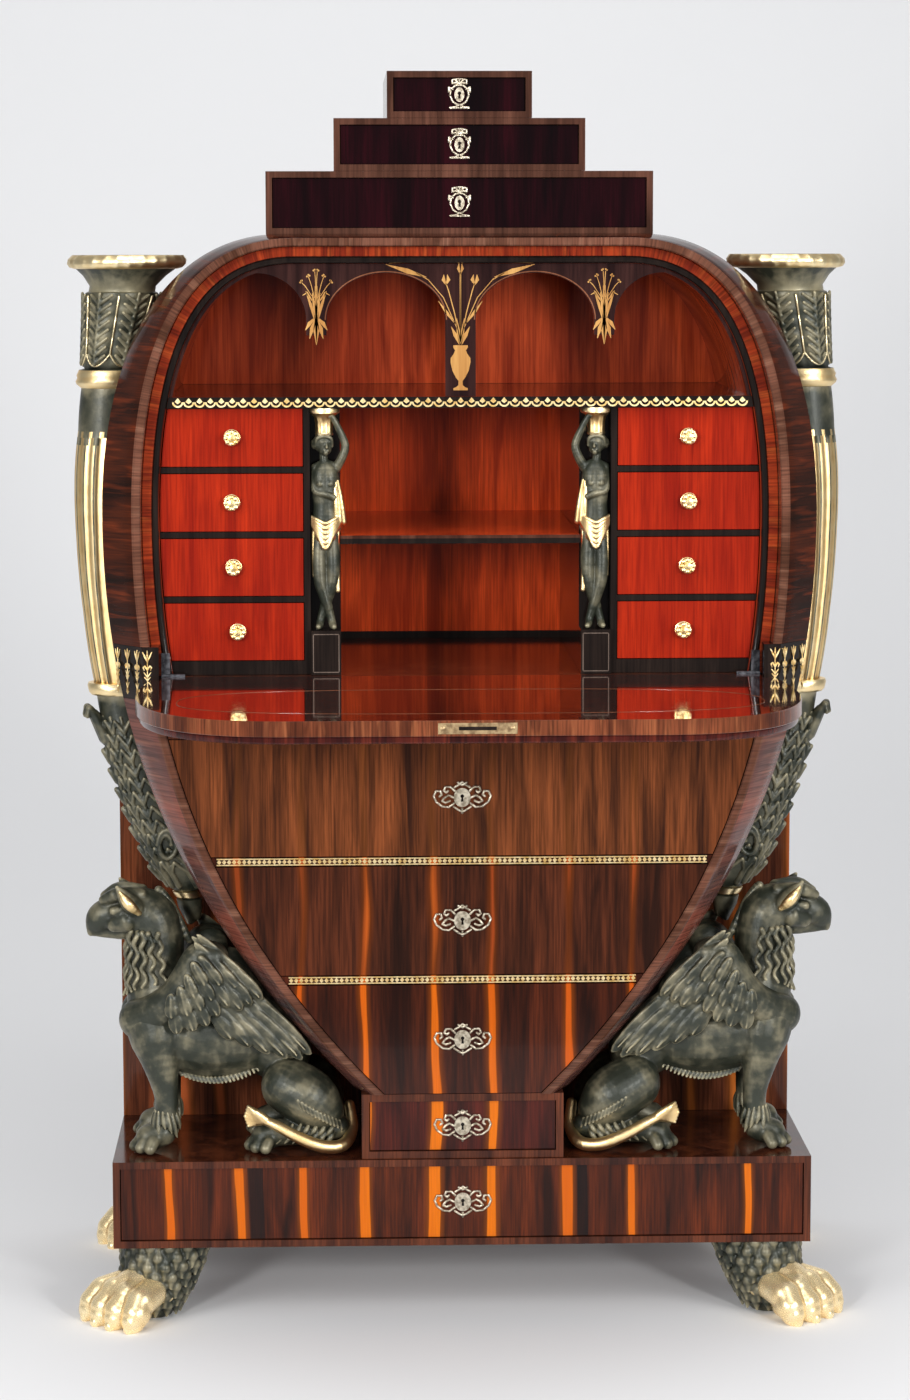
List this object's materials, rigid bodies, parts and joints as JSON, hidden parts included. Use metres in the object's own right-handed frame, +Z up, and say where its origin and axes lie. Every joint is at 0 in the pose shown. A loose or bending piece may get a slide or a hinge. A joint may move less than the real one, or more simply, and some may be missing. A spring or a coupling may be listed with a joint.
{
  "type": "fall-front desk",
  "caption": "Urn-shaped fall-front writing desk with a nest of drawers, horn and griffin supports, a plinth on paw feet and stepped drawers on top.",
  "frame": {"origin": "on the floor, under the middle of the object's box with the flap open", "axes": "+Z up, the front with the flap faces -Y, +X to the right of someone facing the desk"},
  "size_m": [0.9376, 0.9408, 1.4989],
  "materials": {
    "striped_veneer": "French-polished striped veneer",
    "rim_veneer": "French-polished figured cross-grain veneer",
    "red_veneer": "French-polished red-orange veneer",
    "dark_veneer": "French-polished purple-brown veneer",
    "ebony": "polished ebonised wood",
    "patinated_carving": "carved wood painted as green-black bronze, parcel gilt",
    "gilt": "burnished gilding",
    "iron": "dark iron",
    "brass": "worn brass",
    "boxwood": "pale inlay"
  },
  "bodies": {
    "carcase": {"arcade_panel": "dark_veneer", "back_panel": "striped_veneer", "block_case": "striped_veneer", "caryatid_left": "patinated_carving", "caryatid_right": "patinated_carving", "cheek_left": "striped_veneer", "cheek_right": "striped_veneer", "deck": "striped_veneer", "drawer_bank_left": "ebony", "drawer_bank_right": "ebony", "foot_front_left": "patinated_carving", "foot_front_right": "patinated_carving", "foot_rear_left": "patinated_carving", "foot_rear_right": "patinated_carving", "gallery_shelf": "ebony", "griffin_left": "patinated_carving", "griffin_right": "patinated_carving", "hinge_block_left": "ebony", "hinge_block_right": "ebony", "hinge_left": "iron", "hinge_right": "iron", "hood": "striped_veneer", "horn_left": "patinated_carving", "horn_right": "patinated_carving", "nest_arch": "ebony", "niche_shelf": "red_veneer", "pilaster_left": "ebony", "pilaster_right": "ebony", "plinth_case": "striped_veneer", "rail_lower": "striped_veneer", "rail_upper": "striped_veneer", "rear_board_left": "striped_veneer", "rear_board_right": "striped_veneer", "rear_side_left": "striped_veneer", "rear_side_right": "striped_veneer", "rim_lower_left": "rim_veneer", "rim_lower_right": "rim_veneer", "rim_upper": "rim_veneer", "step_box_lower": "dark_veneer", "step_box_middle": "dark_veneer", "step_box_upper": "dark_veneer", "writing_bed": "red_veneer"},
    "plinth_drawer": {"plinth_drawer": "striped_veneer"},
    "block_drawer": {"block_drawer": "striped_veneer"},
    "lower_drawer_bottom": {"lower_drawer_bottom": "striped_veneer"},
    "lower_drawer_middle": {"lower_drawer_middle": "striped_veneer"},
    "lower_drawer_top": {"lower_drawer_top": "striped_veneer"},
    "small_drawer_1_right": {"small_drawer_1_right": "red_veneer"},
    "small_drawer_1_left": {"small_drawer_1_left": "red_veneer"},
    "small_drawer_2_right": {"small_drawer_2_right": "red_veneer"},
    "small_drawer_2_left": {"small_drawer_2_left": "red_veneer"},
    "small_drawer_3_right": {"small_drawer_3_right": "red_veneer"},
    "small_drawer_3_left": {"small_drawer_3_left": "red_veneer"},
    "small_drawer_4_right": {"small_drawer_4_right": "red_veneer"},
    "small_drawer_4_left": {"small_drawer_4_left": "red_veneer"},
    "step_drawer_lower": {"step_drawer_lower": "dark_veneer"},
    "step_drawer_middle": {"step_drawer_middle": "dark_veneer"},
    "step_drawer_upper": {"step_drawer_upper": "dark_veneer"},
    "flap": {"flap": "red_veneer", "flap_lock": "brass"}
  },
  "joints": [
    {"name": "flap_hinge", "type": "hinge", "parent": "carcase", "child": "flap", "pos_m": [0, 0.03538, 0.787], "axis": [1, 0, 0], "range_deg": [-88.7, 0]},
    {"name": "plinth_drawer_slide", "type": "slide", "parent": "carcase", "child": "plinth_drawer", "axis": [0, -1, 0], "range_m": [0, 0.28]},
    {"name": "block_drawer_slide", "type": "slide", "parent": "carcase", "child": "block_drawer", "axis": [0, -1, 0], "range_m": [0, 0.2]},
    {"name": "lower_drawer_bottom_slide", "type": "slide", "parent": "carcase", "child": "lower_drawer_bottom", "axis": [0, -1, 0], "range_m": [0, 0.26]},
    {"name": "lower_drawer_middle_slide", "type": "slide", "parent": "carcase", "child": "lower_drawer_middle", "axis": [0, -1, 0], "range_m": [0, 0.26]},
    {"name": "lower_drawer_top_slide", "type": "slide", "parent": "carcase", "child": "lower_drawer_top", "axis": [0, -1, 0], "range_m": [0, 0.26]},
    {"name": "small_drawer_1_right_slide", "type": "slide", "parent": "carcase", "child": "small_drawer_1_right", "axis": [0, -1, 0], "range_m": [0, 0.2]},
    {"name": "small_drawer_1_left_slide", "type": "slide", "parent": "carcase", "child": "small_drawer_1_left", "axis": [0, -1, 0], "range_m": [0, 0.2]},
    {"name": "small_drawer_2_right_slide", "type": "slide", "parent": "carcase", "child": "small_drawer_2_right", "axis": [0, -1, 0], "range_m": [0, 0.2]},
    {"name": "small_drawer_2_left_slide", "type": "slide", "parent": "carcase", "child": "small_drawer_2_left", "axis": [0, -1, 0], "range_m": [0, 0.2]},
    {"name": "small_drawer_3_right_slide", "type": "slide", "parent": "carcase", "child": "small_drawer_3_right", "axis": [0, -1, 0], "range_m": [0, 0.2]},
    {"name": "small_drawer_3_left_slide", "type": "slide", "parent": "carcase", "child": "small_drawer_3_left", "axis": [0, -1, 0], "range_m": [0, 0.2]},
    {"name": "small_drawer_4_right_slide", "type": "slide", "parent": "carcase", "child": "small_drawer_4_right", "axis": [0, -1, 0], "range_m": [0, 0.2]},
    {"name": "small_drawer_4_left_slide", "type": "slide", "parent": "carcase", "child": "small_drawer_4_left", "axis": [0, -1, 0], "range_m": [0, 0.2]},
    {"name": "step_drawer_lower_slide", "type": "slide", "parent": "carcase", "child": "step_drawer_lower", "axis": [0, -1, 0], "range_m": [0, 0.18]},
    {"name": "step_drawer_middle_slide", "type": "slide", "parent": "carcase", "child": "step_drawer_middle", "axis": [0, -1, 0], "range_m": [0, 0.18]},
    {"name": "step_drawer_upper_slide", "type": "slide", "parent": "carcase", "child": "step_drawer_upper", "axis": [0, -1, 0], "range_m": [0, 0.18]}
  ]
}
